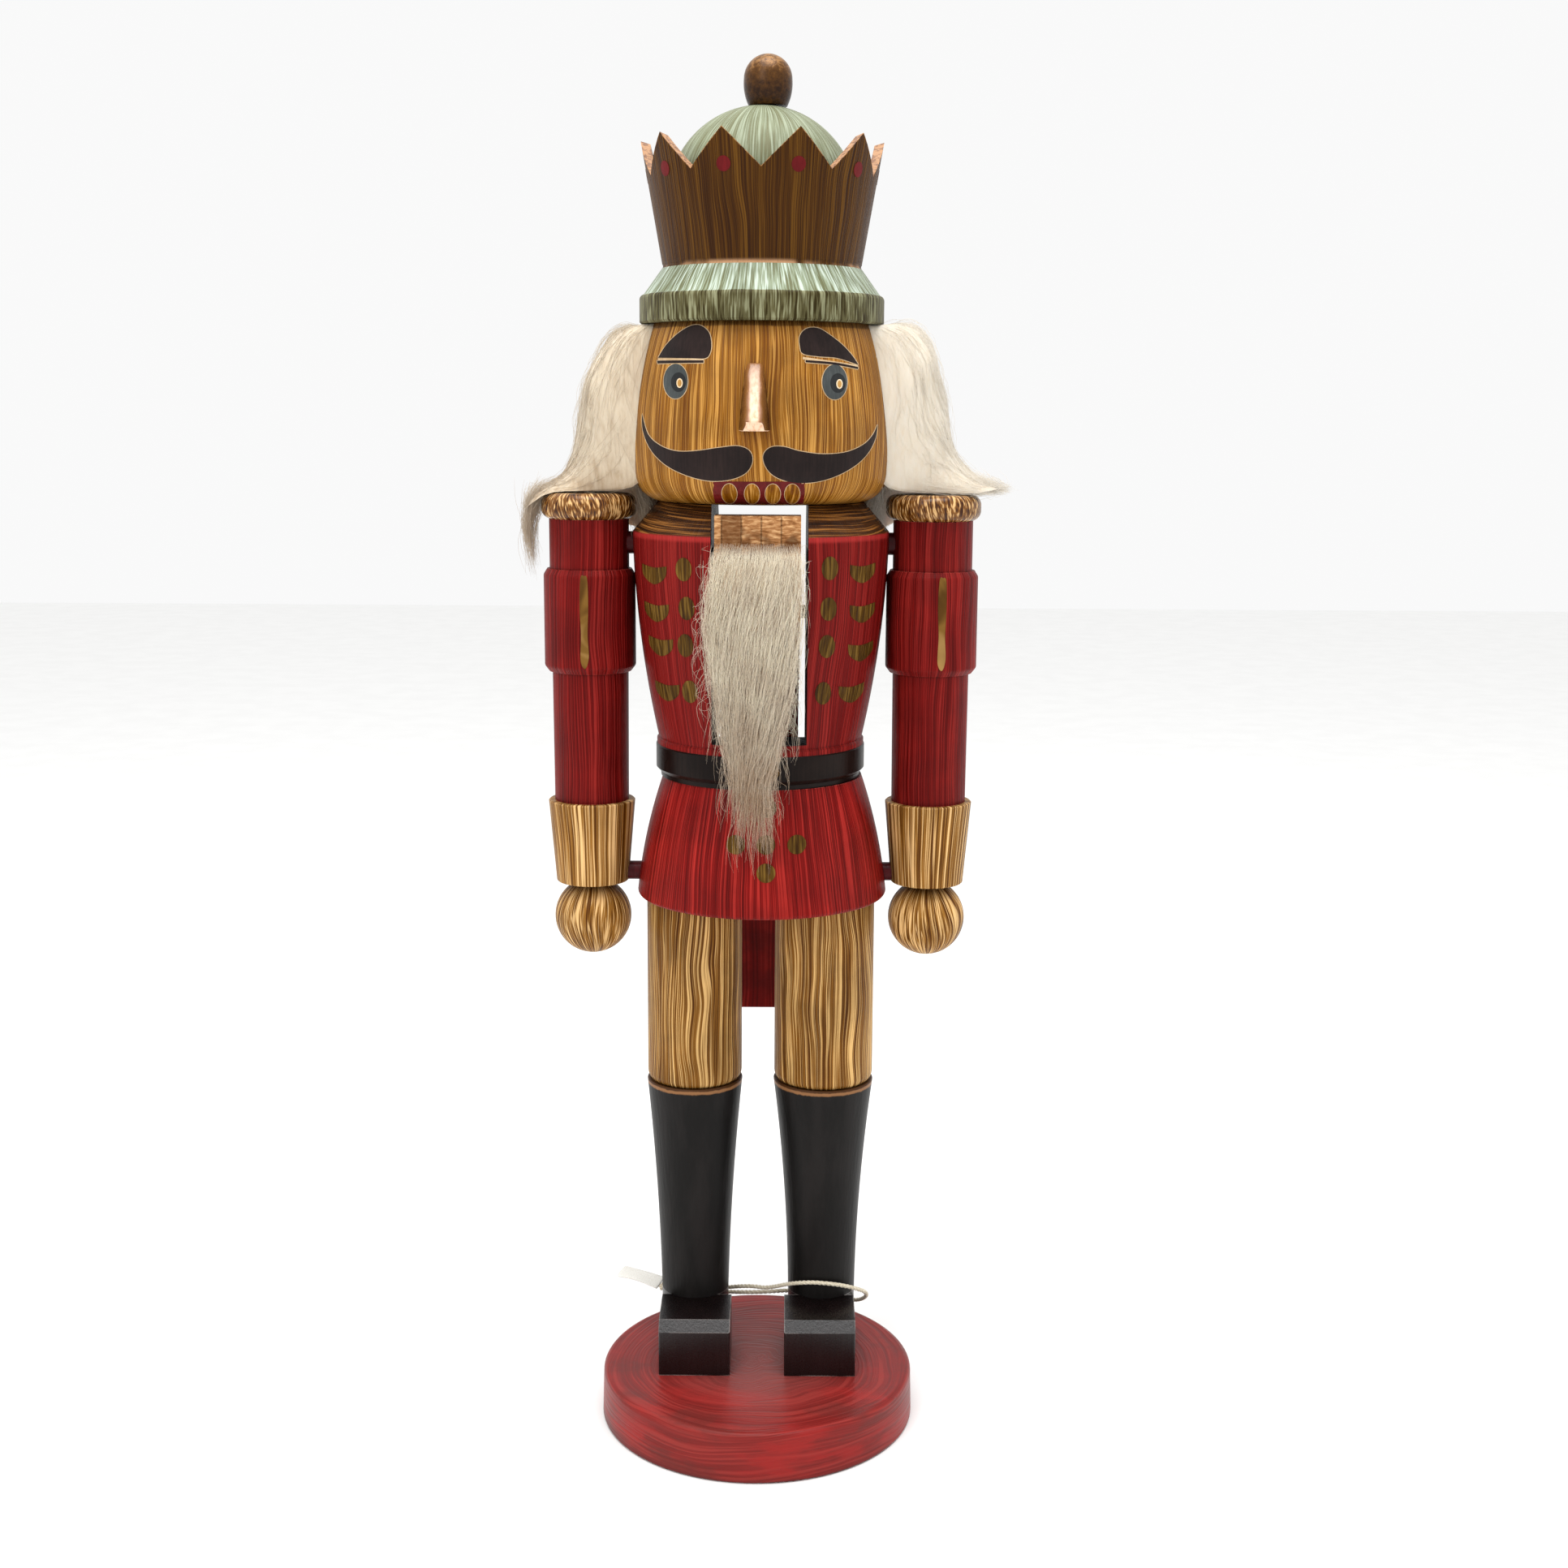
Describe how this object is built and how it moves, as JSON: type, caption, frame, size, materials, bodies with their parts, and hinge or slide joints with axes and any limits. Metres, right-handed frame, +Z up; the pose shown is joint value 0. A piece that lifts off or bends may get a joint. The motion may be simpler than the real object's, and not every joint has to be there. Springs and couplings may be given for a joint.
{
  "type": "nutcracker figure",
  "caption": "Turned wooden nutcracker king on a round base, with a tail lever that opens its jaw, fleece hair and beard, and a toothed crown.",
  "frame": {"origin": "centre of the base's underside", "axes": "+Z up, the figure faces -Y, its left arm as seen from the front is on -X"},
  "size_m": [0.208, 0.168, 0.61],
  "materials": {
    "base_red": "satin painted wood with brushed streaks",
    "boot_black": "satin black paint",
    "gold_wood": "satin gold-brown paint with brushed streaks",
    "coat_red": "satin red paint with brushed streaks",
    "lever_red": "satin dark red paint",
    "belt_black": "satin black paint",
    "buckle_bronze": "bronze paint",
    "face_wood": "satin ochre paint with brushed streaks",
    "nose_copper": "rubbed copper paint",
    "hat_green": "satin sage green paint with brushed streaks",
    "crown_brown": "satin brown paint with bronze edges",
    "finial_bronze": "gloss bronze paint",
    "pin_dark": "blackened",
    "dowel_red": "painted over",
    "dowel_wood": "bare beech",
    "screw_steel": "zinc plated",
    "fleece": "combed wool fleece",
    "tag_paper": "matte card",
    "string_cotton": "twisted cotton"
  },
  "bodies": {
    "figure": {"base": "base_red", "left_foot": "boot_black", "right_foot": "boot_black", "left_boot": "boot_black", "right_boot": "boot_black", "left_thigh": "gold_wood", "right_thigh": "gold_wood", "left_cuff": "gold_wood", "right_cuff": "gold_wood", "left_hand": "gold_wood", "right_hand": "gold_wood", "left_epaulette": "gold_wood", "right_epaulette": "gold_wood", "skirt": "coat_red", "torso": "coat_red", "left_arm": "coat_red", "right_arm": "coat_red", "belt": "belt_black", "belt_buckle": "buckle_bronze", "head": "face_wood", "nose": "nose_copper", "hat_rim": "hat_green", "dome": "hat_green", "crown": "crown_brown", "finial": "finial_bronze", "pivot_pin": "pin_dark", "shoulder_dowels": "dowel_red", "wrist_dowels": "dowel_red", "ankle_dowels": "dowel_wood", "knee_dowels": "dowel_wood", "hip_dowels": "dowel_wood", "waist_dowels": "dowel_wood", "neck_dowels": "dowel_wood", "cuff_dowels": "dowel_wood", "hand_dowels": "dowel_wood", "epaulette_dowels": "dowel_wood", "hat_dowel": "dowel_wood", "finial_dowel": "dowel_wood", "foot_screws": "screw_steel", "hair_left": "fleece", "hair_right": "fleece", "hair_back": "fleece", "hang_tag": "tag_paper", "tag_string": "string_cotton"},
    "lever": {"lever": "lever_red", "beard": "fleece"}
  },
  "joints": [
    {"name": "jaw_hinge", "type": "hinge", "parent": "figure", "child": "lever", "pos_m": [0, 0.026, 0.371], "axis": [1, 0, 0], "range_deg": [0, 24], "deforming": ["beard"]}
  ]
}
